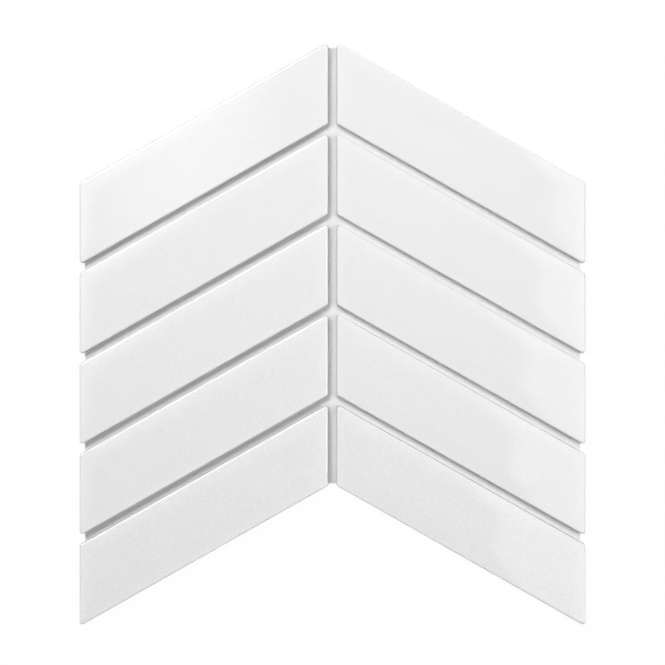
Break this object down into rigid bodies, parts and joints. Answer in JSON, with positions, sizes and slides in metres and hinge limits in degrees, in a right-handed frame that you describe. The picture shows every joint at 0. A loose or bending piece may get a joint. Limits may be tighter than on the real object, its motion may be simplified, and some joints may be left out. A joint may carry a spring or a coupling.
{
  "type": "chevron wall tile sheet",
  "caption": "Flat sheet of slanted glazed white porcelain chips in mirrored columns on a thin backing, bedded on a wall and grouted to make a chevron pattern.",
  "frame": {"origin": "middle of the sheet's outline, on the underside of the backing", "axes": "+Z out of the glazed face, +Y up the wall along the centre joint towards the peak, +X to the right seen from the face"},
  "size_m": [0.2246, 0.258, 0.0065],
  "materials": {
    "glazed_porcelain": "glossy white glaze over the face, arris and top of the wall, bare pale body below it and at the back",
    "backing": "fine white glass-fibre scrim set in dried adhesive"
  },
  "bodies": {
    "root": {"tile_left_1": "glazed_porcelain", "tile_left_2": "glazed_porcelain", "tile_left_3": "glazed_porcelain", "tile_left_4": "glazed_porcelain", "tile_left_5": "glazed_porcelain", "tile_right_1": "glazed_porcelain", "tile_right_2": "glazed_porcelain", "tile_right_3": "glazed_porcelain", "tile_right_4": "glazed_porcelain", "tile_right_5": "glazed_porcelain", "backing_sheet": "backing"}
  },
  "joints": []
}
